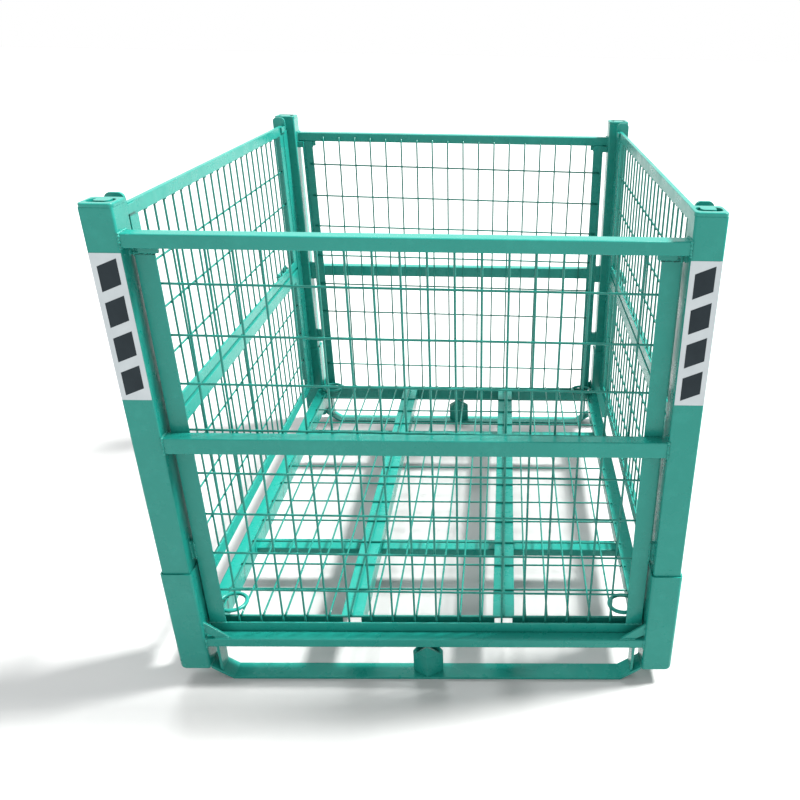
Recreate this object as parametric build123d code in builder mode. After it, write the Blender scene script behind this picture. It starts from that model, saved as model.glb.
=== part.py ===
from build123d import *
import os

# Wire mesh stillage: a welded base on skid straps, a cage that lifts off the base's corner
# sockets, and a drop gate in the upper half of each side.
# Millimetres. +X is to the right of the front, +Y to the rear, +Z up. The origin lies on the
# ground plane, at the middle of the footprint. Most pieces are mirrored, so their places are
# given as a depth behind the outer face of the posts, and turned into X or Y by x_in and y_in.

# ---- Driving dimensions: overall frame, over the outer faces of the posts ----
frame_width = 1122
frame_depth = 1400
post_top = 1080

# ---- Corner posts and the sockets that hold them ----
post_size = 60
post_wall = 3
post_radius = 4
socket_size = 68
socket_wall = 3
socket_bottom = 36
socket_top = 300
socket_floor = 50
socket_floor_thickness = 4
socket_toe_radius = 15
lift_gap = 0.3
cap_size = 61
cap_thickness = 7
cap_radius = 9
cap_edge_radius = 2.5
cap_slot_depth = (12, 46)
cap_slot_width = 47
cap_slot_radius = 12
tongue_depth = 24
tongue_width = 28
tongue_radius = 9

# ---- Rails of the front and rear faces ----
top_rail_z = (1003, 1029)
top_rail_depth = 34
mid_rail_front_z = (593, 628)
mid_rail_rear_z = (560, 595)
mid_rail_depth = 30
rail_wall = 3
rail_radius = 3
tab_x = (447, 484)
tab_drop = 14
tab_thickness = 6

# ---- Front and rear panels, standing behind the rails ----
panel_depth = 30
flange_thickness = 4
stile_x = {"front": (456, 493), "rear": (456, 486)}
stile_leg = {"front": 30, "rear": 15}
panel_bottom_z = (114, 142)
panel_lip = 16
panel_bevel = 14
spacer_lug_depth = 14
spacer_lugs_z = {"front": ((322, 364), (985, 1003)), "rear": ((322, 364), (552, 608), (985, 1003))}

# ---- Welded mesh ----
wire_diameter = 4.8
weld_gap = 0.05
mesh_pitch = 50
mesh_row = 100
panel_columns = 18
panel_rows = 9
panel_first_row_z = 126
panel_column_top = 1012
panel_row_lap = 17

# ---- Side frames: fixed lower panel, drop gate above it, and the jambs beside them ----
side_inset = 10
side_thickness = 25
jamb_y = (60, 112)
jamb_z = (160, 1040)
jamb_wall = 4
jamb_notch_z = 304
socket_clearance = 1.5
side_panel_y = 118
side_stile_width = 38
lower_bottom_z = (170, 203)
lower_top_z = (572, 605)
gate_bottom_z = (614, 638)
gate_top_z = (1032, 1058)
gate_top_thickness = 10
side_lug_z = (230, 500)
side_lug_depth = 12
side_lug_height = 42
side_columns = 21
lower_rows_z = (186, 286, 386, 486, 586)
gate_rows_z = (626, 726, 826, 926, 1045)
stop_plate_y = (96, 104)
stop_plate_width = 36
stop_radius = 11
stop_arm_z = (1040, 1056)
stop_arm_end = 144
stop_arm_thickness = 4.5
stop_clearance = 0.6

# ---- Drop gate hinges ----
hinge_axis_out = 2
hinge_axis_z = 609.5
hinge_places = (178, 1222)
knuckle_radius = 8
knuckle_length = 32
knuckle_gap = 1
pin_radius = 4
pin_clearance = 0.05
pin_length = 104
pin_head_radius = 6.5
pin_head = 3
leaf_reach = 6
leaf_height = 22

# ---- Base: rails, floor, feet ----
base_rail_z = (96, 119)
base_rail_depth = 29.4
side_rail_x = (478, 515)
side_rail_z = (96, 143)
bearer_x = 175
bearer_width = 50
bearer_z = (96, 143)
bearer_toe_z = 112
bearer_toe_depth = 52
channel_wall = 4
cross_member_depths = (380, 1030)
cross_member_width = 45
cross_member_z = (96, 118)
floor_edge_depth = (53, 58)
floor_edge_z = (100, 143)
floor_columns = 20
floor_rows = 14
floor_row_half_length = 484
floor_column_end = 47
strap_thickness = 6
strap_depth = 48
strap_flat_half = 450
strap_end_z = 33
hanger_x = (472, 478)
hanger_depth = (4, 44)
foot_half_width = 35
foot_wall = 5
foot_shoulder_z = 52
foot_back_shoulder_z = 66
brace_depth = (5, 11)
brace_z = (131, 162)
brace_foot_x = (443, 475)
ring_place = (455, 84)
ring_radius = 32
ring_rod = 4.5
ring_lift = 0.4
ring_lug_x = (483, 496)
ring_lug_y = (78, 90)

# ---- Labels on the front posts ----
label_size = (57, 283)
label_z = (712, 995)
label_thickness = 0.5

# ---- Worked out from the above ----
half_width = frame_width / 2
half_depth = frame_depth / 2
post_x = half_width - post_size / 2
post_y = half_depth - post_size / 2
post_inner_x = half_width - post_size
socket_inner_x = post_x - socket_size / 2
socket_inner_y = post_y - socket_size / 2
wire_radius = wire_diameter / 2
socket_floor_underside = socket_floor - socket_floor_thickness
side_outer_x = half_width - side_inset
side_inner_x = side_outer_x - side_thickness
side_flange_x = side_inner_x + flange_thickness
panel_back_depth = panel_depth + flange_thickness
strap_slope = strap_end_z / (socket_inner_x - strap_flat_half)
strap_rise = strap_thickness * (1 + strap_slope**2) ** 0.5
strap_bend_inset = (strap_rise - strap_thickness) / strap_slope
floor_row_z = bearer_z[1] + wire_radius + weld_gap
floor_column_z = floor_row_z + wire_diameter + weld_gap
ends = {"front": -1, "rear": 1}
sides = {"left": -1, "right": 1}
corners = [
    (f"{end}_{side}", sides[side], ends[end])
    for end in ends
    for side in sides
]

os.makedirs("parts", exist_ok=True)


def y_in(depth, end):
    """Y of a place this far behind the outer post faces of the front (-1) or rear (+1)."""
    return end * (half_depth - depth)


def save(piece, name):
    """Label a finished piece and write it as its own STEP file."""
    piece.part.label = name
    export_step(piece.part, f"parts/{name}.step")


def block(x_limits, y_limits, z_limits, mode=Mode.ADD):
    """Add a plain block between the given limits to the part in hand."""
    limits = (x_limits, y_limits, z_limits)
    centre = tuple((low + high) / 2 for low, high in limits)
    lengths = tuple(abs(high - low) for low, high in limits)
    with Locations(centre):
        Box(*lengths, mode=mode)


def hollow_section(plane, centre, size, wall, radius, amount, both=False):
    """Add a rectangular tube to the part in hand, its section drawn on the given plane."""
    with BuildSketch(plane) as section:
        with Locations(centre):
            RectangleRounded(*size, radius)
            inner_radius = max(radius - wall, 1)
            RectangleRounded(size[0] - 2 * wall, size[1] - 2 * wall, inner_radius, mode=Mode.SUBTRACT)
    extrude(section.sketch, amount=amount, both=both)


def rail_across(z_limits, depth, end, half_length):
    """Add a rectangular tube that runs in X, flush with the outer post faces of one end."""
    centre = (y_in(depth / 2, end), sum(z_limits) / 2)
    size = (depth, z_limits[1] - z_limits[0])
    hollow_section(Plane.YZ, centre, size, rail_wall, rail_radius, half_length, both=True)


def wires(axis, length, places):
    """Add straight round wires of one length at the given places, parallel to one axis."""
    turn = {"x": (0, 90, 0), "y": (90, 0, 0), "z": (0, 0, 0)}[axis]
    with Locations(*places):
        Cylinder(wire_radius, length, rotation=turn)


def side_angle_y(side, z_limits, lip_at_top, thickness=side_thickness):
    """Add an angle bar that runs in Y in a side frame: upright flange inside, lip outward."""
    half_length = half_depth - side_panel_y
    y_limits = (-half_length, half_length)
    block((side * side_inner_x, side * side_flange_x), y_limits, z_limits)
    lip_z = (z_limits[1] - flange_thickness, z_limits[1])
    if not lip_at_top:
        lip_z = (z_limits[0], z_limits[0] + flange_thickness)
    block((side * side_flange_x, side * (side_inner_x + thickness)), y_limits, lip_z)


def side_stiles(side, z_limits):
    """Add the two upright angles of a side frame, their legs turned outward at the ends."""
    for end in (-1, 1):
        outer_y = y_in(side_panel_y, end)
        inner_y = y_in(side_panel_y + side_stile_width, end)
        leg_y = y_in(side_panel_y + flange_thickness, end)
        block((side * side_inner_x, side * side_flange_x), (outer_y, inner_y), z_limits)
        block((side * side_flange_x, side * side_outer_x), (outer_y, leg_y), z_limits)


def side_mesh(side, rows_z, columns_z):
    """Add a side frame's mesh: uprights behind the flange, and rows outside the uprights."""
    column_x = side * (side_flange_x + wire_radius + weld_gap)
    row_x = column_x + side * (wire_diameter + weld_gap)
    first_y = -(side_columns - 1) / 2 * mesh_pitch
    column_mid_z = sum(columns_z) / 2
    column_places = [
        (column_x, first_y + mesh_pitch * i, column_mid_z)
        for i in range(side_columns)
    ]
    wires("z", columns_z[1] - columns_z[0], column_places)
    row_half = half_depth - side_panel_y - side_stile_width / 2
    wires("y", 2 * row_half, [(row_x, 0, z) for z in rows_z])


# =====================================================================================
# Base
# =====================================================================================

# Sockets: square sleeves with a stop plate inside, open below to sit on the posts of
# another container. The outer bottom corner is rounded off.
socket_inside = socket_size - 2 * socket_wall
for corner, side, end in corners:
    with BuildPart() as socket:
        with BuildSketch(Plane.XY.offset(socket_bottom)) as sleeve:
            with Locations((side * post_x, end * post_y)):
                RectangleRounded(socket_size, socket_size, post_radius + socket_wall)
                RectangleRounded(socket_inside, socket_inside, post_radius, mode=Mode.SUBTRACT)
        extrude(amount=socket_top - socket_bottom)
        with BuildSketch(Plane.XY.offset(socket_floor_underside)) as stop_plate:
            with Locations((side * post_x, end * post_y)):
                RectangleRounded(socket_inside, socket_inside, post_radius)
        extrude(amount=socket_floor_thickness)
        toe_x = side * (post_x + socket_size / 2)
        with BuildSketch(Plane.XZ) as toe:
            with BuildLine():
                corner_point = (toe_x, socket_bottom)
                inner_point = (toe_x - side * socket_toe_radius, socket_bottom)
                upper_point = (toe_x, socket_bottom + socket_toe_radius)
                centre_point = (inner_point[0], upper_point[1])
                diagonal = socket_toe_radius / 2**0.5
                arc_middle = (centre_point[0] + side * diagonal, centre_point[1] - diagonal)
                ThreePointArc(inner_point, arc_middle, upper_point)
                Line(upper_point, corner_point)
                Line(corner_point, inner_point)
            make_face()
        extrude(toe.sketch, amount=frame_depth, both=True, mode=Mode.SUBTRACT)
    save(socket, f"corner_socket_{corner}")

# Base rails between the sockets, at the front and rear
for end_name, end in ends.items():
    with BuildPart() as base_rail:
        rail_across(base_rail_z, base_rail_depth, end, socket_inner_x)
    save(base_rail, f"base_rail_{end_name}")

# Side rails of the floor, between the sockets
for side_name, side in sides.items():
    with BuildPart() as side_rail:
        centre = (side * sum(side_rail_x) / 2, sum(side_rail_z) / 2)
        size = (side_rail_x[1] - side_rail_x[0], side_rail_z[1] - side_rail_z[0])
        hollow_section(Plane.XZ, centre, size, rail_wall, rail_radius, socket_inner_y, both=True)
    save(side_rail, f"floor_side_rail_{side_name}")

# Floor bearers: channels open below, with low toes that reach under the cage's panels to
# the base rails.
bearer_half = half_depth - base_rail_depth
toe_half = half_depth - bearer_toe_depth
for side_name, side in sides.items():
    with BuildPart() as bearer:
        half_bearer = bearer_width / 2
        x_limits = (side * bearer_x - half_bearer, side * bearer_x + half_bearer)
        block(x_limits, (-bearer_half, bearer_half), bearer_z)
        hollow_x = (x_limits[0] + channel_wall, x_limits[1] - channel_wall)
        hollow_z = (bearer_z[0], bearer_z[1] - channel_wall)
        block(hollow_x, (-toe_half, toe_half), hollow_z, mode=Mode.SUBTRACT)
        for end in (-1, 1):
            toe_y = (end * toe_half, end * bearer_half)
            block(x_limits, toe_y, (bearer_toe_z, bearer_z[1]), mode=Mode.SUBTRACT)
            under_toe_z = (bearer_z[0], bearer_toe_z - channel_wall)
            block(hollow_x, toe_y, under_toe_z, mode=Mode.SUBTRACT)
    save(bearer, f"floor_bearer_{side_name}")

# Cross members: short tubes between the side rails and the bearers, set lower than them
bays = (
    (-side_rail_x[0], -bearer_x - bearer_width / 2),
    (-bearer_x + bearer_width / 2, bearer_x - bearer_width / 2),
    (bearer_x + bearer_width / 2, side_rail_x[0]),
)
with BuildPart() as cross_members:
    for depth in cross_member_depths:
        centre = (depth - half_depth, sum(cross_member_z) / 2)
        size = (cross_member_width, cross_member_z[1] - cross_member_z[0])
        for bay in bays:
            plane = Plane.YZ.offset(bay[0])
            hollow_section(plane, centre, size, rail_wall, rail_radius, bay[1] - bay[0])
save(cross_members, "floor_cross_members")

# Floor edge bars: upright flats under the front and rear ends of the floor mesh
with BuildPart() as floor_edge_bars:
    for end in (-1, 1):
        edge_y = (y_in(floor_edge_depth[0], end), y_in(floor_edge_depth[1], end))
        for bay in bays:
            block(bay, edge_y, floor_edge_z)
save(floor_edge_bars, "floor_edge_bars")

# Floor mesh: rows across the bearers, columns from front to rear on top of them
with BuildPart() as floor_mesh:
    first_y = -(floor_rows - 1) / 2 * mesh_row
    first_x = -(floor_columns - 1) / 2 * mesh_pitch
    row_places = [(0, first_y + mesh_row * i, floor_row_z) for i in range(floor_rows)]
    wires("x", 2 * floor_row_half_length, row_places)
    column_places = [(first_x + mesh_pitch * i, 0, floor_column_z) for i in range(floor_columns)]
    wires("y", 2 * (half_depth - floor_column_end), column_places)
save(floor_mesh, "floor_mesh")

# Corner braces: flat bars sloping from each socket down to the base rail
with BuildPart() as corner_braces:
    for corner, side, end in corners:
        brace_plane = Plane.XZ.offset(-y_in(brace_depth[0], end))
        outline = [
            (side * socket_inner_x, brace_z[1]),
            (side * brace_foot_x[0], base_rail_z[1]),
            (side * brace_foot_x[1], base_rail_z[1]),
            (side * socket_inner_x, brace_z[0]),
        ]
        with BuildSketch(brace_plane) as brace:
            with BuildLine():
                Polyline(*outline, close=True)
            make_face()
        extrude(brace.sketch, amount=end * (brace_depth[1] - brace_depth[0]))
save(corner_braces, "corner_braces")

# Skid straps: flat bars on the ground, their ends bent up to the sockets
for end_name, end in ends.items():
    with BuildPart() as strap:
        strap_plane = Plane.XZ.offset(-y_in(0, end))
        half_outline = [
            (strap_flat_half, 0),
            (socket_inner_x, strap_end_z),
            (socket_inner_x, strap_end_z + strap_rise),
            (strap_flat_half - strap_bend_inset, strap_thickness),
        ]
        mirrored = [(-x, z) for x, z in reversed(half_outline)]
        with BuildSketch(strap_plane) as strap_profile:
            with BuildLine():
                Polyline(*half_outline, *mirrored, close=True)
            make_face()
        extrude(strap_profile.sketch, amount=end * strap_depth)
    save(strap, f"skid_strap_{end_name}")

# Strap hangers: upright plates between the sloping ends of the straps and the base rails
with BuildPart() as hangers:
    for corner, side, end in corners:
        hanger_plane = Plane.XZ.offset(-y_in(hanger_depth[0], end))
        foot_z = [strap_rise + strap_slope * (x - strap_flat_half) for x in hanger_x]
        with BuildSketch(hanger_plane) as hanger:
            with BuildLine():
                Polyline(
                    (side * hanger_x[0], foot_z[0]),
                    (side * hanger_x[1], foot_z[1]),
                    (side * hanger_x[1], base_rail_z[0]),
                    (side * hanger_x[0], base_rail_z[0]),
                    close=True,
                )
            make_face()
        extrude(hanger.sketch, amount=end * (hanger_depth[1] - hanger_depth[0]))
save(hangers, "strap_hangers")

# Centre feet: four plates set as a diamond, sloping down from the base rail at the sides
with BuildPart() as centre_feet:
    for end in (-1, 1):
        foot_y = y_in(strap_depth / 2, end)
        with BuildSketch(Plane.XY.offset(strap_thickness)) as diamond:
            for shrink, mode in ((0, Mode.ADD), (foot_wall * 2**0.5, Mode.SUBTRACT)):
                reach_x = foot_half_width - shrink
                reach_y = strap_depth / 2 - shrink
                with BuildLine():
                    Polyline(
                        (reach_x, foot_y),
                        (0, foot_y + reach_y),
                        (-reach_x, foot_y),
                        (0, foot_y - reach_y),
                        close=True,
                    )
                make_face(mode=mode)
        extrude(diamond.sketch, amount=base_rail_z[0] - strap_thickness)
    foot_mid_y = half_depth - strap_depth / 2
    for shoulder_z, near_y, far_y in (
        (foot_shoulder_z, foot_mid_y, half_depth),
        (foot_back_shoulder_z, half_depth - strap_depth, foot_mid_y),
    ):
        for corner, side, end in corners:
            high_y = max(end * near_y, end * far_y)
            with BuildSketch(Plane.XZ.offset(-high_y)) as bevel:
                with BuildLine():
                    Polyline(
                        (0, base_rail_z[0]),
                        (side * foot_half_width, base_rail_z[0]),
                        (side * foot_half_width, shoulder_z),
                        close=True,
                    )
                make_face()
            extrude(bevel.sketch, amount=far_y - near_y, mode=Mode.SUBTRACT)
save(centre_feet, "centre_feet")

# Lashing rings: round rod rings lying on the floor, each welded to a lug on the side rail
with BuildPart() as lashing_rings:
    ring_z = floor_column_z + wire_radius + ring_lift + ring_rod
    for corner, side, end in corners:
        with Locations((side * ring_place[0], y_in(ring_place[1], end), ring_z)):
            Torus(ring_radius, ring_rod)
        x_limits = (side * ring_lug_x[0], side * ring_lug_x[1])
        y_limits = (y_in(ring_lug_y[0], end), y_in(ring_lug_y[1], end))
        block(x_limits, y_limits, (side_rail_z[1], ring_z + ring_rod))
save(lashing_rings, "lashing_rings")

# =====================================================================================
# Cage
# =====================================================================================

# Corner posts, standing just clear of the stop plates inside the sockets
post_bottom = socket_floor + lift_gap
cap_bottom = post_top - cap_thickness
for corner, side, end in corners:
    with BuildPart() as post:
        centre = (side * post_x, end * post_y)
        size = (post_size, post_size)
        plane = Plane.XY.offset(post_bottom)
        hollow_section(plane, centre, size, post_wall, post_radius, cap_bottom - post_bottom)
    save(post, f"corner_post_{corner}")

# Post caps: thick lids with rounded edges, each with a slot cut round a flat tongue
with BuildPart() as post_caps:
    for corner, side, end in corners:
        with BuildSketch(Plane.XY.offset(cap_bottom)) as lid:
            with Locations((side * post_x, end * post_y)):
                RectangleRounded(cap_size, cap_size, cap_radius)
        extrude(lid.sketch, amount=cap_thickness)
    fillet(post_caps.faces().group_by(Axis.Z)[-1].edges(), cap_edge_radius)
    for corner, side, end in corners:
        slot_length = cap_slot_depth[1] - cap_slot_depth[0]
        tongue_length = cap_slot_depth[1] - tongue_depth + tongue_radius
        slot_place = (side * post_x, y_in(sum(cap_slot_depth) / 2, end))
        tongue_place = (side * post_x, y_in(tongue_depth + tongue_length / 2, end))
        with BuildSketch(Plane.XY.offset(cap_bottom)) as slot:
            with Locations(slot_place):
                RectangleRounded(cap_slot_width, slot_length, cap_slot_radius)
            with Locations(tongue_place):
                RectangleRounded(tongue_width, tongue_length, tongue_radius, mode=Mode.SUBTRACT)
        extrude(slot.sketch, amount=cap_thickness, mode=Mode.SUBTRACT)
save(post_caps, "post_caps")

# Top and mid rails of the front and rear faces
for end_name, end in ends.items():
    with BuildPart() as top_rail:
        rail_across(top_rail_z, top_rail_depth, end, post_inner_x)
    save(top_rail, f"top_rail_{end_name}")
    mid_rail_z = mid_rail_front_z if end_name == "front" else mid_rail_rear_z
    with BuildPart() as mid_rail:
        rail_across(mid_rail_z, mid_rail_depth, end, post_inner_x)
    save(mid_rail, f"mid_rail_{end_name}")

# Tabs under the ends of the top rails, in front of the stiles
with BuildPart() as rail_tabs:
    for corner, side, end in corners:
        tab_back = y_in(panel_depth, end)
        tab_front = y_in(panel_depth - tab_thickness, end)
        z_limits = (top_rail_z[0] - tab_drop, top_rail_z[0])
        block((side * tab_x[0], side * tab_x[1]), (tab_front, tab_back), z_limits)
save(rail_tabs, "top_rail_tabs")

# Front and rear panels: stiles, bottom bar and mesh
stile_z = (panel_bottom_z[1], top_rail_z[0])
for end_name, end in ends.items():
    stile_inner_x, stile_outer_x = stile_x[end_name]
    with BuildPart() as stiles:
        for side in (-1, 1):
            flange_y = (y_in(panel_depth, end), y_in(panel_back_depth, end))
            leg_y = (y_in(panel_back_depth, end), y_in(panel_depth + stile_leg[end_name], end))
            leg_x = (side * (stile_outer_x - flange_thickness), side * stile_outer_x)
            block((side * stile_inner_x, side * stile_outer_x), flange_y, stile_z)
            block(leg_x, leg_y, stile_z)
    save(stiles, f"{end_name}_panel_stiles")

    with BuildPart() as bottom_bar:
        bar_half = stile_outer_x
        low, high = panel_bottom_z
        with BuildSketch(Plane.XZ.offset(-y_in(panel_depth, end))) as bar_face:
            with BuildLine():
                Polyline(
                    (-bar_half, high),
                    (-bar_half, low + panel_bevel),
                    (-bar_half + panel_bevel, low),
                    (bar_half - panel_bevel, low),
                    (bar_half, low + panel_bevel),
                    (bar_half, high),
                    close=True,
                )
            make_face()
        extrude(bar_face.sketch, amount=end * flange_thickness)
        lip_half = bar_half - 2 * panel_bevel
        lip_y = (y_in(panel_back_depth, end), y_in(panel_depth + panel_lip, end))
        block((-lip_half, lip_half), lip_y, (low, low + flange_thickness))
    save(bottom_bar, f"{end_name}_panel_bottom_bar")

    with BuildPart() as panel_mesh:
        row_y = y_in(panel_back_depth + wire_radius + weld_gap, end)
        column_y = y_in(panel_back_depth + wire_radius * 3 + 2 * weld_gap, end)
        rows_z = [panel_first_row_z + mesh_row * i for i in range(panel_rows)]
        wires("x", 2 * (stile_inner_x + panel_row_lap), [(0, row_y, z) for z in rows_z])
        column_bottom = panel_bottom_z[0] + flange_thickness + weld_gap
        first_x = -(panel_columns - 1) / 2 * mesh_pitch
        column_mid_z = (column_bottom + panel_column_top) / 2
        column_places = [
            (first_x + mesh_pitch * i, column_y, column_mid_z)
            for i in range(panel_columns)
        ]
        wires("z", panel_column_top - column_bottom, column_places)
    save(panel_mesh, f"{end_name}_mesh")

# Spacer lugs, welded between the stiles and the posts
with BuildPart() as spacer_lugs:
    for end_name, end in ends.items():
        y_limits = (y_in(panel_depth, end), y_in(panel_depth + spacer_lug_depth, end))
        for side in (-1, 1):
            x_limits = (side * stile_x[end_name][1], side * post_inner_x)
            for lug_z in spacer_lugs_z[end_name]:
                block(x_limits, y_limits, lug_z)
save(spacer_lugs, "panel_spacer_lugs")

# Side jambs: channels against the posts, cut back below to clear the sockets
for side_name, side in sides.items():
    with BuildPart() as jambs:
        jamb_x = (side * side_inner_x, side * side_outer_x)
        hollow_x = (side * (side_inner_x + jamb_wall), side * side_outer_x)
        notch_depth = jamb_y[0] + (socket_size - post_size) / 2 + socket_clearance
        for end in (-1, 1):
            y_limits = (y_in(jamb_y[0], end), y_in(jamb_y[1], end))
            hollow_y = (y_in(jamb_y[0] + jamb_wall, end), y_in(jamb_y[1] - jamb_wall, end))
            notch_y = (y_in(jamb_y[0], end), y_in(notch_depth, end))
            block(jamb_x, y_limits, jamb_z)
            block(hollow_x, hollow_y, jamb_z, mode=Mode.SUBTRACT)
            block(jamb_x, notch_y, (jamb_z[0], jamb_notch_z), mode=Mode.SUBTRACT)
    save(jambs, f"{side_name}_side_jambs")

# Gate stops: rounded plates above the jambs, with an arm behind each end of a gate
with BuildPart() as gate_stops:
    for corner, side, end in corners:
        plate_mid_x = side * (side_inner_x + side_outer_x) / 2
        stop_plane = Plane.XZ.offset(-y_in(stop_plate_y[0], end))
        with BuildSketch(stop_plane) as stop_plate:
            with Locations((plate_mid_x, jamb_z[1] + (post_top - jamb_z[1]) / 2)):
                Rectangle(stop_plate_width, post_top - jamb_z[1])
            top_corners = stop_plate.vertices().group_by(Axis.Y)[-1]
            fillet(top_corners, stop_radius)
        extrude(stop_plate.sketch, amount=end * (stop_plate_y[1] - stop_plate_y[0]))
        arm_x = (
            side * (side_inner_x - stop_clearance - stop_arm_thickness),
            side * (side_inner_x - stop_clearance),
        )
        arm_y = (y_in(stop_plate_y[0], end), y_in(stop_arm_end, end))
        block(arm_x, arm_y, stop_arm_z)
save(gate_stops, "gate_stops")

# Fixed lower side panels
for side_name, side in sides.items():
    with BuildPart() as lower_top_bar:
        side_angle_y(side, lower_top_z, lip_at_top=True)
    save(lower_top_bar, f"{side_name}_lower_top_bar")
    with BuildPart() as lower_bottom_bar:
        side_angle_y(side, lower_bottom_z, lip_at_top=False)
    save(lower_bottom_bar, f"{side_name}_lower_bottom_bar")
    with BuildPart() as lower_stiles:
        side_stiles(side, (lower_bottom_z[1], lower_top_z[0]))
        for end in (-1, 1):
            gap_y = (y_in(jamb_y[1], end), y_in(side_panel_y, end))
            for lug_z in side_lug_z:
                x_limits = (side * side_inner_x, side * (side_inner_x + side_lug_depth))
                block(x_limits, gap_y, (lug_z, lug_z + side_lug_height))
    save(lower_stiles, f"{side_name}_lower_stiles")
    with BuildPart() as lower_mesh:
        column_bottom = lower_bottom_z[0] + flange_thickness + weld_gap
        column_top = lower_top_z[1] - flange_thickness - weld_gap
        side_mesh(side, lower_rows_z, (column_bottom, column_top))
    save(lower_mesh, f"{side_name}_lower_mesh")

# =====================================================================================
# Drop gates and their hinges
# =====================================================================================

for side_name, side in sides.items():
    with BuildPart() as gate_top_rail:
        side_angle_y(side, gate_top_z, lip_at_top=True, thickness=gate_top_thickness)
    save(gate_top_rail, f"{side_name}_gate_top_rail")
    with BuildPart() as gate_bottom_bar:
        side_angle_y(side, gate_bottom_z, lip_at_top=False)
    save(gate_bottom_bar, f"{side_name}_gate_bottom_bar")
    with BuildPart() as gate_stiles:
        side_stiles(side, (gate_bottom_z[1], gate_top_z[0]))
    save(gate_stiles, f"{side_name}_gate_stiles")
    with BuildPart() as gate_mesh:
        column_bottom = gate_bottom_z[0] + flange_thickness + weld_gap
        column_top = gate_top_z[1] - flange_thickness - weld_gap
        side_mesh(side, gate_rows_z, (column_bottom, column_top))
    save(gate_mesh, f"{side_name}_gate_mesh")

hinge_axis_x = half_width + hinge_axis_out
hinge_pitch = knuckle_length + knuckle_gap


def knuckle(side, hinge_y, leaf_z):
    """Add one hinge knuckle with a short leaf that reaches back to a side frame."""
    axis_x = side * hinge_axis_x
    block(
        (side * side_outer_x, side * (hinge_axis_x - leaf_reach)),
        (hinge_y - knuckle_length / 2, hinge_y + knuckle_length / 2),
        leaf_z,
    )
    with Locations((axis_x, hinge_y, hinge_axis_z)):
        Cylinder(knuckle_radius, knuckle_length, rotation=(90, 0, 0))


def bore_knuckles(side):
    """Cut the pin bores through every knuckle of one side."""
    places = [(side * hinge_axis_x, place - half_depth, hinge_axis_z) for place in hinge_places]
    with Locations(*places):
        bore_radius = pin_radius + pin_clearance
        Cylinder(bore_radius, 4 * knuckle_length, rotation=(90, 0, 0), mode=Mode.SUBTRACT)


with BuildPart() as fixed_knuckles:
    for side in (-1, 1):
        for place in hinge_places:
            for step in (-1, 1):
                hinge_y = place - half_depth + step * hinge_pitch
                knuckle(side, hinge_y, (hinge_axis_z - leaf_height, hinge_axis_z))
        bore_knuckles(side)
save(fixed_knuckles, "fixed_knuckles")

for side_name, side in sides.items():
    with BuildPart() as gate_knuckles:
        for place in hinge_places:
            knuckle(side, place - half_depth, (hinge_axis_z, hinge_axis_z + leaf_height))
        bore_knuckles(side)
    save(gate_knuckles, f"{side_name}_gate_knuckles")

with BuildPart() as hinge_pins:
    for side in (-1, 1):
        for place in hinge_places:
            y_mid = place - half_depth
            with Locations((side * hinge_axis_x, y_mid, hinge_axis_z)):
                Cylinder(pin_radius, pin_length, rotation=(90, 0, 0))
            for step in (-1, 1):
                head_y = y_mid + step * (pin_length + pin_head) / 2
                with Locations((side * hinge_axis_x, head_y, hinge_axis_z)):
                    Cylinder(pin_head_radius, pin_head, rotation=(90, 0, 0))
save(hinge_pins, "hinge_pins")

# Labels on the outer faces of the front posts
with BuildPart() as labels:
    label_half = label_size[0] / 2
    for side in (-1, 1):
        x_limits = (side * post_x - label_half, side * post_x + label_half)
        block(x_limits, (y_in(0, -1) - label_thickness, y_in(0, -1)), label_z)
save(labels, "post_labels")
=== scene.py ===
import math
import random

import bmesh
import bpy
from mathutils import Matrix, Vector, noise


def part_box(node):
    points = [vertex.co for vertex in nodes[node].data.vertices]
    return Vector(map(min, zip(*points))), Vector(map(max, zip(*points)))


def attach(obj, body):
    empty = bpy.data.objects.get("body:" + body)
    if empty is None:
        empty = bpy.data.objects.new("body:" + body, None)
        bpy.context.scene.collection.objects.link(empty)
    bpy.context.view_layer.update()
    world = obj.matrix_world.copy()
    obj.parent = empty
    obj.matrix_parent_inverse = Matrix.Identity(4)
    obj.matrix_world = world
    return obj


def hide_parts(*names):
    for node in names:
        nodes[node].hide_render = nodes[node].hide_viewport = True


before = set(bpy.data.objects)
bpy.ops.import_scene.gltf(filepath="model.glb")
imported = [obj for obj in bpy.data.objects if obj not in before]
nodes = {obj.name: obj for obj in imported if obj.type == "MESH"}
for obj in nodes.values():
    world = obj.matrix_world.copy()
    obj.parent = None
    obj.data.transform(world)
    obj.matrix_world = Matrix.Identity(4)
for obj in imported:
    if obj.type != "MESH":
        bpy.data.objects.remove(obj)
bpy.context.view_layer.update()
scene = bpy.context.scene

RANDOM_SEED = 7
random.seed(RANDOM_SEED)
noise.seed_set(RANDOM_SEED)

Y_AXIS = 1
Z_AXIS = 2

# ---- Welded mesh, in metres ----
WIRE_RADIUS = 0.0024
COLUMN_PITCH = 0.050
ROW_PITCH = 0.100
WIRE_STEP = 0.025
WIRE_SIDES = 12
WIRE_WOBBLE = 0.0007
WOBBLES_PER_METRE = 4.0
SEED_SPREAD = (1.0, 0.7, 1.3)
COLUMN_SEED_STEP = 3.1
FIRST_ROW_SEED = 50.0
ROW_SEED_STEP = 2.3
NUGGET = (0.0034, 0.0034, 0.0030)
NUGGET_SPREAD = (0.8, 1.15)
FRONT_MESH_TILT = math.radians(0.6)
REAR_MESH_TILT = math.radians(0.9)
PANEL_COLUMNS = 18
PANEL_ROWS = 9
PANEL_FIRST_ROW_Z = 0.126
FLOOR_COLUMNS = 20
FLOOR_ROWS = 14
SIDE_COLUMNS = 21
GATE_ROWS = 4
GATE_ROW_DROP = 0.001
LOWER_ROWS = 5

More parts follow.
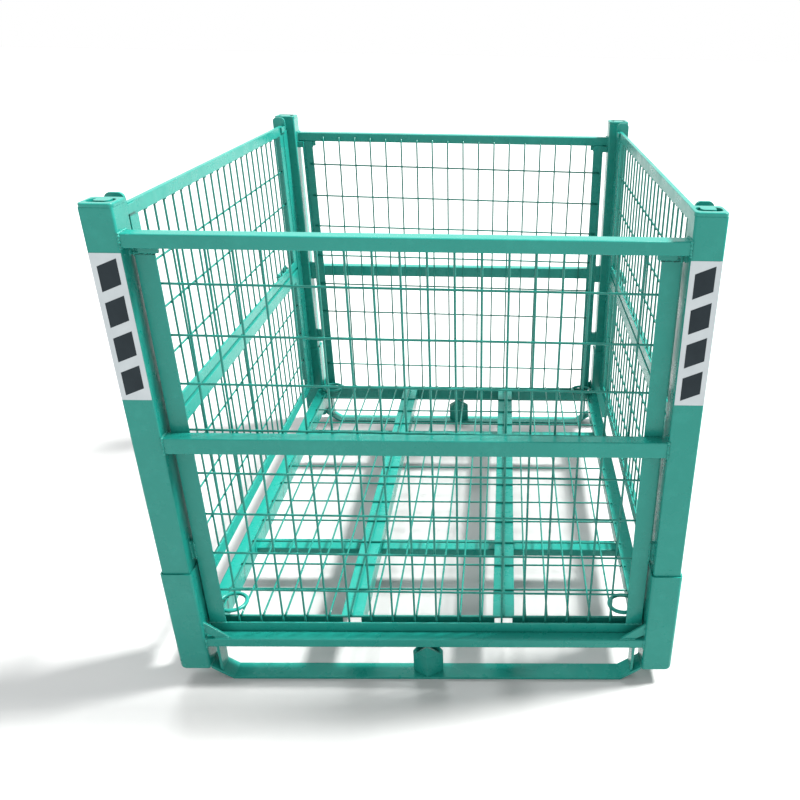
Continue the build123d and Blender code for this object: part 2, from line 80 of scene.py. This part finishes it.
# ---- Weld beads, in metres ----
BEAD_RADIUS = 0.0027
FINE_BEAD = 0.0025
BEAD_STEP = 0.0026
BEAD_JITTER = 0.0006
BEAD_SPREAD = (0.80, 1.15)
BEAD_FLATNESS = (0.75, 1.0)
STILE_WIDTH = {"front": 0.037, "rear": 0.030}
LUG_HEIGHTS = {
    "front": ((0.322, 0.364), (0.985, 1.003)),
    "rear": ((0.322, 0.364), (0.552, 0.608), (0.985, 1.003)),
}
POST_INNER_X = 0.501
STILE_SEAM_DROP = 0.014
UNDERCUT_DROP = 0.003
UNDERCUT_RADIUS = 0.0017
HANGER_THICKNESS = 0.006
HANGER_BEAD_LENGTH = 0.022
STRAP_BEAD_LENGTH = 0.046
BRACE_BEAD_LENGTH = 0.031
BRACE_FOOT_FROM_END = (0.054, 0.022)
FLANGE_WELD = (0.0030, 0.0052, 0.0036)
FLANGE_WELD_SPREAD = (0.7, 1.3)
FLANGE_WELD_IN = 0.0030
FLANGE_WELD_STRAY = 0.001

# ---- Labels, in metres ----
LABEL_WIDTH = 0.057
LABEL_LIFT = 0.00015
BAR_THICKNESS = 0.00012
BAR_COUNT = 4
BAR_PITCH = 0.0675
BAR_MARGIN = 0.040
BAR_HALF_WIDTH = 0.0185
BAR_HALF_HEIGHT = 0.0235
BAR_SLANT = 0.0075

# ---- Rounded edges of the sawn and folded steel ----
MERGE_DISTANCE = 0.00001
EDGE_ROUND = 0.0011
EDGE_ROUND_SEGMENTS = 2
EDGE_ROUND_ANGLE = math.radians(50)

# ---- Studio: places in metres, the camera's turn in degrees ----
FLOOR_HALF_SIZE = 30.0
FLOOR_PALE = (0.45, 0.455, 0.455)
FLOOR_SHADE = (0.42, 0.425, 0.425)
FLOOR_ROUGHNESS = 0.85
KEY_AIM = (-0.595, -0.160, -0.788)
KEY_POWER = 9.6
KEY_SPREAD = math.radians(11)
KEY_COLOUR = (1.0, 0.99, 0.97)
RIM_AIM = (0.15, -0.80, -0.58)
RIM_POWER = 2.4
RIM_SPREAD = math.radians(20)
RIM_COLOUR = (0.98, 1.0, 1.0)
SKY_WHITE = (1.0, 1.0, 1.0, 1.0)
SKY_STRENGTH = 1.0
CAMERA_PLACE = (0.1721, -2.1303, 1.3778)
CAMERA_TURN = (62.095, -1.031, -0.873)
CAMERA_LENS = 36.65
CAMERA_SENSOR = 36.0
CAMERA_SHIFT = (-0.152, 0.057)

# ---- Paint: heights and radii in metres ----
ENAMEL_IOR = 1.34
ENAMEL_COAT = 0.08
ENAMEL_COAT_ROUGHNESS = 0.12
WELD_COAT = 0.15
WELD_COAT_ROUGHNESS = 0.15
FILM_IOR = 1.3
# Edge mask for paler paint that is partly a painted highlight and partly wear, and for chips
# down to steel
EDGE_WEAR_AND_HIGHLIGHT_RADIUS = 0.0022
EDGE_WEAR_AND_HIGHLIGHT_SAMPLES = 6
EDGE_WEAR_AND_HIGHLIGHT_BAND = (0.985, 0.86)
GRIT_HEIGHT = 0.00015
WELD_SCALE_HEIGHT = 0.0007
WELD_PIT_DEPTH = 0.0004
FILM_WRINKLE_HEIGHT = 0.0006
FILM_SCUFF_HEIGHT = 0.00004
FILM_SCUFF_ROUGHNESS = 0.25

# ---- Paint colours, linear ----
ENAMEL_MID = (0.010, 0.222, 0.182)
ENAMEL_DEEP = (0.007, 0.172, 0.140)
ENAMEL_PALE = (0.030, 0.300, 0.250)
# Painted shade: the wires' enamel is a darker green than the frame's, standing in for the shade
# on the wires
WIRE_SHADED_GREEN = (0.007, 0.150, 0.120)
BARE_STEEL = (0.22, 0.23, 0.22)
# Dirt specks on the enamel; also the painted shade of the seam blobs and the colour of the dark
# weld pits
GRIME_AND_SHADE = (0.008, 0.045, 0.038)
LABEL_WHITE = (0.47, 0.51, 0.53)
LABEL_GREY = (0.42, 0.46, 0.48)
LABEL_INK = (0.004, 0.011, 0.016)
LABEL_INK_WORN = (0.009, 0.018, 0.024)


# =====================================================================================
# Materials
# =====================================================================================

class Shader:
    """A small helper for building one material's node tree."""

    def __init__(self, name):
        self.material = bpy.data.materials.new(name)
        self.material.use_nodes = True
        self.tree = self.material.node_tree
        self.surface = self.tree.nodes["Principled BSDF"]
        self.place = self.add("ShaderNodeTexCoord").outputs["Object"]

    def add(self, kind, **settings):
        """Add a node and give it settings."""
        node = self.tree.nodes.new(kind)
        for key, value in settings.items():
            setattr(node, key, value)
        return node

    def join(self, output, socket):
        """Link an output to an input socket."""
        self.tree.links.new(output, socket)

    def noise(self, scale, detail=4.0, roughness=0.55, stretch=None):
        """Noise in object space; scale is in cycles per metre."""
        place = self.place
        if stretch:
            mapping = self.add("ShaderNodeMapping")
            mapping.inputs["Scale"].default_value = stretch
            self.join(place, mapping.inputs["Vector"])
            place = mapping.outputs["Vector"]
        node = self.add("ShaderNodeTexNoise")
        node.inputs["Scale"].default_value = scale
        node.inputs["Detail"].default_value = detail
        node.inputs["Roughness"].default_value = roughness
        self.join(place, node.inputs["Vector"])
        return node.outputs["Fac"]

    def ramp(self, value, low, high, to_low=0.0, to_high=1.0):
        """Map value from low..high to to_low..to_high, and no further."""
        node = self.add("ShaderNodeMapRange")
        node.inputs["From Min"].default_value = low
        node.inputs["From Max"].default_value = high
        node.inputs["To Min"].default_value = to_low
        node.inputs["To Max"].default_value = to_high
        self.join(value, node.inputs["Value"])
        return node.outputs["Result"]

    def product(self, a, b):
        """Multiply two masks."""
        node = self.add("ShaderNodeMath", operation="MULTIPLY")
        self.join(a, node.inputs[0])
        self.join(b, node.inputs[1])
        return node.outputs["Value"]

    def mix(self, factor, a, b):
        """Mix two colours, each a fixed colour or another node's output."""
        node = self.add("ShaderNodeMix", data_type="RGBA")
        self.join(factor, node.inputs["Factor"])
        for value, socket in ((a, node.inputs[6]), (b, node.inputs[7])):
            if isinstance(value, tuple):
                socket.default_value = (*value, 1.0)
            else:
                self.join(value, socket)
        return node.outputs[2]

    def edges(self, radius):
        """A mask that is 1 on convex and concave edges, from how a rounded normal differs."""
        bevel = self.add("ShaderNodeBevel", samples=EDGE_WEAR_AND_HIGHLIGHT_SAMPLES)
        bevel.inputs["Radius"].default_value = radius
        geometry = self.add("ShaderNodeNewGeometry")
        dot = self.add("ShaderNodeVectorMath", operation="DOT_PRODUCT")
        self.join(bevel.outputs["Normal"], dot.inputs[0])
        self.join(geometry.outputs["Normal"], dot.inputs[1])
        return self.ramp(dot.outputs["Value"], *EDGE_WEAR_AND_HIGHLIGHT_BAND)

    def bumps(self, layers):
        """Stack bump layers, each (height output, distance in metres)."""
        normal = None
        for height, distance in layers:
            node = self.add("ShaderNodeBump")
            node.inputs["Strength"].default_value = 1.0
            node.inputs["Distance"].default_value = distance
            self.join(height, node.inputs["Height"])
            if normal is not None:
                self.join(normal, node.inputs["Normal"])
            normal = node.outputs["Normal"]
        self.join(normal, self.surface.inputs["Normal"])


def enamel(name, peel_scale, peel_height, wave_height, base=ENAMEL_MID, edge_wear_and_highlight=True):
    """Glossy sea-green enamel, sprayed by hand over welded steel."""
    s = Shader(name)
    cloud = s.noise(2.6, detail=3.0)
    speckle = s.noise(38.0, detail=6.0, roughness=0.65)
    streak = s.noise(9.0, detail=4.0, stretch=(1.0, 1.0, 0.12))
    # Broad clouds and upright streaks of deeper paint, with a fine paler speckle
    colour = s.mix(s.ramp(cloud, 0.35, 0.68, to_high=0.45), base, ENAMEL_DEEP)
    colour = s.mix(s.ramp(speckle, 0.50, 0.85, to_high=0.35), colour, ENAMEL_PALE)
    colour = s.mix(s.ramp(streak, 0.60, 0.82, to_high=0.30), colour, ENAMEL_DEEP)
    # Specks of dirt that gather in patches
    dust = s.noise(120.0, detail=3.0, roughness=0.7)
    spots = s.product(s.ramp(dust, 0.70, 0.76), s.ramp(speckle, 0.52, 0.62))
    colour = s.mix(s.product(spots, s.ramp(cloud, 0.30, 0.60, 0.25, 0.7)), colour, GRIME_AND_SHADE)
    rough = s.ramp(s.noise(14.0, detail=5.0, roughness=0.6), 0.30, 0.75, 0.20, 0.40)
    if edge_wear_and_highlight:
        # Paler paint along the edges, broken up: partly a painted highlight, partly worn paint;
        # chipped down to steel here and there
        edge = s.edges(EDGE_WEAR_AND_HIGHLIGHT_RADIUS)
        edge_breakup = s.ramp(s.noise(85.0, detail=5.0, roughness=0.7), 0.50, 0.60)
        chips = s.ramp(s.noise(17.0, detail=3.0), 0.60, 0.68)
        colour = s.mix(s.product(edge, edge_breakup), colour, ENAMEL_PALE)
        worn = s.product(s.product(edge, edge_breakup), chips)
        colour = s.mix(worn, colour, BARE_STEEL)
    s.join(colour, s.surface.inputs["Base Color"])
    s.join(rough, s.surface.inputs["Roughness"])
    s.surface.inputs["Metallic"].default_value = 0.0
    s.surface.inputs["IOR"].default_value = ENAMEL_IOR
    s.surface.inputs["Coat Weight"].default_value = ENAMEL_COAT
    s.surface.inputs["Coat Roughness"].default_value = ENAMEL_COAT_ROUGHNESS
    peel = s.noise(peel_scale, detail=2.0, roughness=0.5)
    wave = s.noise(21.0, detail=2.0)
    grit = s.ramp(dust, 0.66, 0.78)
    s.bumps([(wave, wave_height), (peel, peel_height), (grit, GRIT_HEIGHT)])
    return s.material


def weld_enamel(name, hollow_shade_colour, crest_colour):
    """The same paint over rough weld metal: painted shade in the hollows of the ripples, the
    crest colour on their tops, and dark sunken pits.
    """
    s = Shader(name)
    scale = s.noise(160.0, detail=5.0, roughness=0.7)
    # Colour follows the bump noise: painted shade in the hollows, and on weld_paint a painted
    # highlight on the pale crests
    colour = s.mix(s.ramp(scale, 0.35, 0.65), hollow_shade_colour, crest_colour)
    pits = s.ramp(s.noise(260.0, detail=3.0), 0.64, 0.72)
    colour = s.mix(pits, colour, GRIME_AND_SHADE)
    s.join(colour, s.surface.inputs["Base Color"])
    s.join(s.ramp(scale, 0.3, 0.7, 0.22, 0.48), s.surface.inputs["Roughness"])
    s.surface.inputs["IOR"].default_value = ENAMEL_IOR
    s.surface.inputs["Coat Weight"].default_value = WELD_COAT
    s.surface.inputs["Coat Roughness"].default_value = WELD_COAT_ROUGHNESS
    s.bumps([(scale, WELD_SCALE_HEIGHT), (pits, -WELD_PIT_DEPTH)])
    return s.material


def label_film(name, colour_a, colour_b, roughness):
    """Adhesive film: faintly mottled, with soft wrinkles and a little scuffing."""
    s = Shader(name)
    cloud = s.noise(24.0, detail=4.0)
    scuff = s.ramp(s.noise(70.0, detail=6.0, stretch=(1.0, 1.0, 0.3)), 0.60, 0.80)
    colour = s.mix(s.ramp(cloud, 0.3, 0.7), colour_a, colour_b)
    s.join(colour, s.surface.inputs["Base Color"])
    rough = s.ramp(scuff, 0.0, 1.0, roughness, roughness + FILM_SCUFF_ROUGHNESS)
    s.join(rough, s.surface.inputs["Roughness"])
    s.surface.inputs["IOR"].default_value = FILM_IOR
    wrinkle = s.noise(16.0, detail=2.0)
    s.bumps([(wrinkle, FILM_WRINKLE_HEIGHT), (scuff, FILM_SCUFF_HEIGHT)])
    return s.material


frame_paint = enamel("frame_paint", peel_scale=330.0, peel_height=0.00012, wave_height=0.0011)
# The same enamel on all the wires, in a darker green: painted shade
shaded_mesh_paint = enamel(
    "shaded_mesh_paint", peel_scale=700.0, peel_height=0.00010, wave_height=0.0003,
    base=WIRE_SHADED_GREEN, edge_wear_and_highlight=False,
)
# Weld paint: deeper hollows are painted shade and paler crests a painted highlight
weld_paint = weld_enamel("weld_paint", ENAMEL_DEEP, ENAMEL_PALE)
# Painted shade: dark weld paint for the blobs that stand in for the shade in the seams
seam_shade_paint = weld_enamel("seam_shade_paint", GRIME_AND_SHADE, ENAMEL_DEEP)
label_paint = label_film("label_paint", LABEL_WHITE, LABEL_GREY, roughness=0.34)
ink_paint = label_film("ink_paint", LABEL_INK, LABEL_INK_WORN, roughness=0.42)


def dress(obj, material):
    """Give every slot of an object one material."""
    if not obj.data.materials:
        obj.data.materials.append(material)
    for index in range(len(obj.data.materials)):
        obj.data.materials[index] = material
    for slot in obj.material_slots:
        slot.material = material


# =====================================================================================
# CAD nodes: paint, and softly rounded edges on the sawn and folded steel
# =====================================================================================

ROUND_NODES = ("hinge_pins", "lashing_rings")
MESH_NODES = {
    "front_mesh": "cage",
    "rear_mesh": "cage",
    "left_lower_mesh": "cage",
    "right_lower_mesh": "cage",
    "left_gate_mesh": "left_gate",
    "right_gate_mesh": "right_gate",
    "floor_mesh": "base",
}

for name, obj in nodes.items():
    if name == "post_labels":
        dress(obj, label_paint)
        continue
    dress(obj, frame_paint)
    if name in ROUND_NODES or name in MESH_NODES:
        continue
    merge = obj.modifiers.new("merge", "WELD")
    merge.merge_threshold = MERGE_DISTANCE
    rounding = obj.modifiers.new("rounding", "BEVEL")
    rounding.width = EDGE_ROUND
    rounding.segments = EDGE_ROUND_SEGMENTS
    rounding.limit_method = "ANGLE"
    rounding.angle_limit = EDGE_ROUND_ANGLE
    rounding.use_clamp_overlap = True


# =====================================================================================
# Pieces made here
# =====================================================================================

def stepped(first, count, step):
    """List count places that start at first and are step apart."""
    return [first + step * i for i in range(count)]


def middle_of(node):
    """The middle of a CAD node's box."""
    low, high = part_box(node)
    return (low + high) / 2


def make_piece(name, mesh, material, body, smooth=True):
    """Turn a bmesh into an object that rides on a body."""
    data = bpy.data.meshes.new(name)
    mesh.to_mesh(data)
    mesh.free()
    obj = bpy.data.objects.new(name, data)
    scene.collection.objects.link(obj)
    data.materials.append(material)
    if smooth:
        for polygon in data.polygons:
            polygon.use_smooth = True
    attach(obj, body)
    return obj


def add_tube(mesh, points, radius):
    """Add a closed round tube that follows points, which run nearly straight."""
    forward = (points[-1] - points[0]).normalized()
    across = forward.orthogonal().normalized()
    other = forward.cross(across)
    rings = []
    for point in points:
        ring = []
        for i in range(WIRE_SIDES):
            angle = 2 * math.pi * i / WIRE_SIDES
            offset = across * math.cos(angle) + other * math.sin(angle)
            ring.append(mesh.verts.new(point + offset * radius))
        rings.append(ring)
    for first, second in zip(rings, rings[1:]):
        for i in range(WIRE_SIDES):
            j = (i + 1) % WIRE_SIDES
            mesh.faces.new((first[i], first[j], second[j], second[i]))
    mesh.faces.new(list(reversed(rings[0])))
    mesh.faces.new(rings[-1])


def add_blob(mesh, centre, size, divisions=1):
    """Add a small rounded lump, such as one ripple of a weld."""
    matrix = Matrix.Translation(centre) @ Matrix.Diagonal((*size, 1.0))
    bmesh.ops.create_icosphere(mesh, subdivisions=divisions, radius=1.0, matrix=matrix)


def wobble(point, seed):
    """A smooth small offset, as in drawn wire that isn't quite straight."""
    shift = Vector([seed * spread for spread in SEED_SPREAD])
    return noise.noise_vector(point * WOBBLES_PER_METRE + shift) * WIRE_WOBBLE


def add_wire(mesh, start, end, normal, seed):
    """Add one wire from start to end. It wanders within the plane of its sheet only."""
    length = (end - start).length
    steps = max(2, round(length / WIRE_STEP))
    along = (end - start).normalized()
    side = along.cross(normal)
    points = []
    for i in range(steps + 1):
        point = start.lerp(end, i / steps)
        drift = wobble(point, seed)
        points.append(point + side * drift.dot(side))
    add_tube(mesh, points, WIRE_RADIUS)


def sheet_axes(node):
    """A flat mesh sheet's two box corners, the axis of its thickness and its other two axes."""
    low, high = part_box(node)
    size = high - low
    thin = min(range(3), key=lambda axis: size[axis])
    plane = [axis for axis in range(3) if axis != thin]
    return low, high, thin, plane


def wire_sheet(node, column_axis, columns, row_places, rows_first, tilt=0.0):
    """Rebuild one welded mesh: columns run along column_axis, rows across it.

    rows_first says that the rows lie on the sheet's lower side along its thin axis.
    """
    low, high, thin, plane = sheet_axes(node)
    row_axis = next(axis for axis in plane if axis != column_axis)
    normal = Vector([1.0 if axis == thin else 0.0 for axis in range(3)])
    near = low[thin] + WIRE_RADIUS
    far = high[thin] - WIRE_RADIUS
    row_level, column_level = (near, far) if rows_first else (far, near)
    middle = (low + high) / 2
    first_column = middle[row_axis] - (columns - 1) / 2 * COLUMN_PITCH
    spin = Matrix.Rotation(tilt, 3, normal)

    def spot(row_value, column_value, level):
        """A point of the sheet, turned with it about its middle."""
        point = Vector((0.0, 0.0, 0.0))
        point[row_axis] = row_value
        point[column_axis] = column_value
        point[thin] = level
        return middle + spin @ (point - middle)

    mesh = bmesh.new()
    column_places = stepped(first_column, columns, COLUMN_PITCH)
    for index, place in enumerate(column_places):
        start = spot(place, low[column_axis], column_level)
        end = spot(place, high[column_axis], column_level)
        add_wire(mesh, start, end, normal, COLUMN_SEED_STEP * index)
    for index, place in enumerate(row_places):
        start = spot(low[row_axis], place, row_level)
        end = spot(high[row_axis], place, row_level)
        add_wire(mesh, start, end, normal, FIRST_ROW_SEED + ROW_SEED_STEP * index)
    weld_level = (row_level + column_level) / 2
    for place in column_places:
        for row in row_places:
            size = [value * random.uniform(*NUGGET_SPREAD) for value in NUGGET]
            add_blob(mesh, spot(place, row, weld_level), size)
    piece = make_piece(f"{node}_wires", mesh, shaded_mesh_paint, MESH_NODES[node])
    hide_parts(node)


for end_name, tilt in (("front", FRONT_MESH_TILT), ("rear", REAR_MESH_TILT)):
    node = f"{end_name}_mesh"
    rows = stepped(PANEL_FIRST_ROW_Z, PANEL_ROWS, ROW_PITCH)
    wire_sheet(node, Z_AXIS, PANEL_COLUMNS, rows, end_name == "front", tilt)

first_floor_row = middle_of("floor_mesh").y - (FLOOR_ROWS - 1) / 2 * ROW_PITCH
floor_rows = stepped(first_floor_row, FLOOR_ROWS, ROW_PITCH)
wire_sheet("floor_mesh", Y_AXIS, FLOOR_COLUMNS, floor_rows, rows_first=True)

for side_name in ("left", "right"):
    outside_is_low = side_name == "left"
    first_gate_row = middle_of(f"{side_name}_gate_bottom_bar").z - GATE_ROW_DROP
    gate_rows = stepped(first_gate_row, GATE_ROWS, ROW_PITCH)
    gate_rows.append(middle_of(f"{side_name}_gate_top_rail").z)
    wire_sheet(f"{side_name}_gate_mesh", Z_AXIS, SIDE_COLUMNS, gate_rows, outside_is_low)
    first_lower_row = middle_of(f"{side_name}_lower_bottom_bar").z
    lower_rows = stepped(first_lower_row, LOWER_ROWS, ROW_PITCH)
    wire_sheet(f"{side_name}_lower_mesh", Z_AXIS, SIDE_COLUMNS, lower_rows, outside_is_low)


# ---- Weld beads ----

def add_bead(mesh, start, end, radius=BEAD_RADIUS):
    """Add a weld bead along a seam: overlapping ripples, each a little different."""
    start, end = Vector(start), Vector(end)
    count = max(2, round((end - start).length / BEAD_STEP))
    for i in range(count + 1):
        point = start.lerp(end, i / count)
        jitter = Vector([random.uniform(-BEAD_JITTER, BEAD_JITTER) for _ in range(3)])
        wide = radius * random.uniform(*BEAD_SPREAD)
        size = (wide, wide, radius * random.uniform(*BEAD_FLATNESS))
        add_blob(mesh, point + jitter, size, divisions=2)


def mirrored_bead(mesh, start, end, radius=BEAD_RADIUS):
    """Add the same bead at all four corners: start and end are given for +X and +Y."""
    for x_sign in (-1, 1):
        for y_sign in (-1, 1):
            flip = Vector((x_sign, y_sign, 1))
            add_bead(mesh, Vector(start) * flip, Vector(end) * flip, radius)


def rail_end_beads(mesh, node):
    """Beads round both ends of a rail that butts on a post or socket."""
    low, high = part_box(node)
    for x in (low.x, high.x):
        corners = ((low.y, low.z), (low.y, high.z), (high.y, high.z), (high.y, low.z))
        for first, second in zip(corners, corners[1:] + corners[:1]):
            add_bead(mesh, (x, *first), (x, *second))


def stile_bead(mesh, end_name, x_sign, z, radius):
    """A bead at height z across the outer face of one stile of an end panel."""
    low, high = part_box(f"{end_name}_panel_bottom_bar")
    face_y = low.y if end_name == "front" else high.y
    outer = x_sign * high.x
    inner = x_sign * (high.x - STILE_WIDTH[end_name])
    add_bead(mesh, (outer, face_y, z), (inner, face_y, z), radius)


def stile_seam_z(end_name):
    """Height of the seam at the top of an end panel's stiles."""
    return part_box(f"top_rail_{end_name}")[0].z - STILE_SEAM_DROP


def cage_welds():
    """Beads where the rails meet the posts, and along the panels' seams."""
    mesh = bmesh.new()
    for end_name in ("front", "rear"):
        for rail in ("top_rail", "mid_rail"):
            rail_end_beads(mesh, f"{rail}_{end_name}")
        low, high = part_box(f"{end_name}_panel_bottom_bar")
        face_y = low.y if end_name == "front" else high.y
        for x_sign in (-1, 1):
            outer = x_sign * high.x
            stile_bead(mesh, end_name, x_sign, high.z, FINE_BEAD)
            stile_bead(mesh, end_name, x_sign, stile_seam_z(end_name), FINE_BEAD)
            for edge_x in (outer, x_sign * POST_INNER_X):
                for bottom, top in LUG_HEIGHTS[end_name]:
                    add_bead(mesh, (edge_x, face_y, bottom), (edge_x, face_y, top), FINE_BEAD)
    make_piece("cage_welds", mesh, weld_paint, "cage")


def painted_seam_shade():
    """Painted shade: dark blobs along the undercut seams just below the welds at the tops of the
    stiles.
    """
    mesh = bmesh.new()
    for end_name in ("front", "rear"):
        undercut_z = stile_seam_z(end_name) - UNDERCUT_DROP
        for x_sign in (-1, 1):
            stile_bead(mesh, end_name, x_sign, undercut_z, UNDERCUT_RADIUS)
    make_piece("painted_seam_shade", mesh, seam_shade_paint, "cage")


def base_welds():
    """Beads round the base rails, the hangers, the strap ends and the braces.

    hanger, strap and brace are the rear right top corners of those nodes' boxes.
    """
    mesh = bmesh.new()
    for end_name in ("front", "rear"):
        rail_end_beads(mesh, f"base_rail_{end_name}")
    rail_low, rail_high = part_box("base_rail_rear")
    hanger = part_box("strap_hangers")[1]
    for x in (hanger.x - HANGER_THICKNESS, hanger.x):
        outer = Vector((x, hanger.y, rail_low.z))
        inner = outer - Vector((0, HANGER_BEAD_LENGTH, 0))
        mirrored_bead(mesh, outer, inner, FINE_BEAD)
    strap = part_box("skid_strap_rear")[1]
    mirrored_bead(mesh, strap, strap - Vector((0, STRAP_BEAD_LENGTH, 0)))
    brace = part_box("corner_braces")[1]
    mirrored_bead(mesh, brace - Vector((0, 0, BRACE_BEAD_LENGTH)), brace, FINE_BEAD)
    foot_inner, foot_outer = (brace.x - inset for inset in BRACE_FOOT_FROM_END)
    foot_start = (foot_inner, brace.y, rail_high.z)
    mirrored_bead(mesh, foot_start, (foot_outer, brace.y, rail_high.z), FINE_BEAD)
    make_piece("base_welds", mesh, weld_paint, "base")


def flange_welds(name, body, bars):
    """Small welds where each upright wire of a side frame meets a bar's edge.

    bars lists (node, whether the wires meet its upper edge).
    """
    mesh = bmesh.new()
    for node, at_top in bars:
        low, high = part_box(node)
        inner_x = low.x if low.x > 0 else high.x
        x = inner_x + math.copysign(FLANGE_WELD_IN, inner_x)
        z = high.z if at_top else low.z
        first_y = (low.y + high.y) / 2 - (SIDE_COLUMNS - 1) / 2 * COLUMN_PITCH
        for y in stepped(first_y, SIDE_COLUMNS, COLUMN_PITCH):
            size = [value * random.uniform(*FLANGE_WELD_SPREAD) for value in FLANGE_WELD]
            stray = random.uniform(-FLANGE_WELD_STRAY, FLANGE_WELD_STRAY)
            add_blob(mesh, Vector((x, y + stray, z)), size, divisions=2)
    make_piece(name, mesh, weld_paint, body)


cage_welds()
painted_seam_shade()
base_welds()
for side_name in ("left", "right"):
    gate_bars = ((f"{side_name}_gate_top_rail", False), (f"{side_name}_gate_bottom_bar", True))
    flange_welds(f"{side_name}_gate_welds", f"{side_name}_gate", gate_bars)
    fixed_bars = ((f"{side_name}_lower_top_bar", False), (f"{side_name}_lower_bottom_bar", True))
    flange_welds(f"{side_name}_lower_welds", "cage", fixed_bars)


# ---- Labels: generic slanted bars on the white film ----

def label_bars():
    """Four dark slanted bars on each label."""
    mesh = bmesh.new()
    low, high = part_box("post_labels")
    for x_sign in (-1, 1):
        centre_x = x_sign * (high.x - LABEL_WIDTH / 2)
        for i in range(BAR_COUNT):
            centre_z = high.z - BAR_MARGIN - BAR_PITCH * i
            outline = (
                (-BAR_HALF_WIDTH, -BAR_HALF_HEIGHT - BAR_SLANT),
                (BAR_HALF_WIDTH, -BAR_HALF_HEIGHT + BAR_SLANT),
                (BAR_HALF_WIDTH, BAR_HALF_HEIGHT + BAR_SLANT),
                (-BAR_HALF_WIDTH, BAR_HALF_HEIGHT - BAR_SLANT),
            )
            mesh.faces.new([
                mesh.verts.new((centre_x + dx, low.y - LABEL_LIFT, centre_z + dz))
                for dx, dz in outline
            ])
    extruded = bmesh.ops.extrude_face_region(mesh, geom=mesh.faces[:])
    moved = [item for item in extruded["geom"] if isinstance(item, bmesh.types.BMVert)]
    bmesh.ops.translate(mesh, verts=moved, vec=(0.0, BAR_THICKNESS, 0.0))
    bmesh.ops.recalc_face_normals(mesh, faces=mesh.faces[:])
    make_piece("label_bars", mesh, ink_paint, "cage", smooth=False)


label_bars()


# =====================================================================================
# Floor, light and camera
# =====================================================================================

def pale_floor():
    """A wide, plain, softly mottled floor."""
    data = bpy.data.meshes.new("floor")
    directions = ((-1, -1), (1, -1), (1, 1), (-1, 1))
    corners = [(x * FLOOR_HALF_SIZE, y * FLOOR_HALF_SIZE, 0) for x, y in directions]
    data.from_pydata(corners, [], [range(4)])
    floor = bpy.data.objects.new("floor", data)
    scene.collection.objects.link(floor)
    s = Shader("pale_floor")
    cloud = s.ramp(s.noise(1.3, detail=4.0), 0.3, 0.7)
    colour = s.mix(cloud, FLOOR_PALE, FLOOR_SHADE)
    s.join(colour, s.surface.inputs["Base Color"])
    s.surface.inputs["Roughness"].default_value = FLOOR_ROUGHNESS
    data.materials.append(s.material)


def far_light(name, aim, power, spread, colour, glints):
    """A broad, far light that shines along aim, with or without glints."""
    data = bpy.data.lights.new(name, "SUN")
    data.energy = power
    data.angle = spread
    data.color = colour
    light = bpy.data.objects.new(name, data)
    light.rotation_mode = "QUATERNION"
    light.rotation_quaternion = Vector(aim).to_track_quat("-Z", "Y")
    light.visible_glossy = glints
    scene.collection.objects.link(light)


def white_sky():
    """Even white light from all round."""
    world = bpy.data.worlds.new("studio")
    scene.world = world
    world.use_nodes = True
    background = world.node_tree.nodes["Background"]
    background.inputs["Color"].default_value = SKY_WHITE
    background.inputs["Strength"].default_value = SKY_STRENGTH
    scene.view_settings.view_transform = "Standard"


def front_camera():
    """The camera that looks at the front from above, with its lens shifted."""
    data = bpy.data.cameras.new("camera")
    data.sensor_width = CAMERA_SENSOR
    data.lens = CAMERA_LENS
    data.shift_x, data.shift_y = CAMERA_SHIFT
    camera = bpy.data.objects.new("camera", data)
    camera.location = CAMERA_PLACE
    camera.rotation_euler = [math.radians(angle) for angle in CAMERA_TURN]
    scene.collection.objects.link(camera)
    scene.camera = camera


pale_floor()
far_light("key", KEY_AIM, KEY_POWER, KEY_SPREAD, KEY_COLOUR, glints=True)
far_light("rim", RIM_AIM, RIM_POWER, RIM_SPREAD, RIM_COLOUR, glints=False)
white_sky()
front_camera()
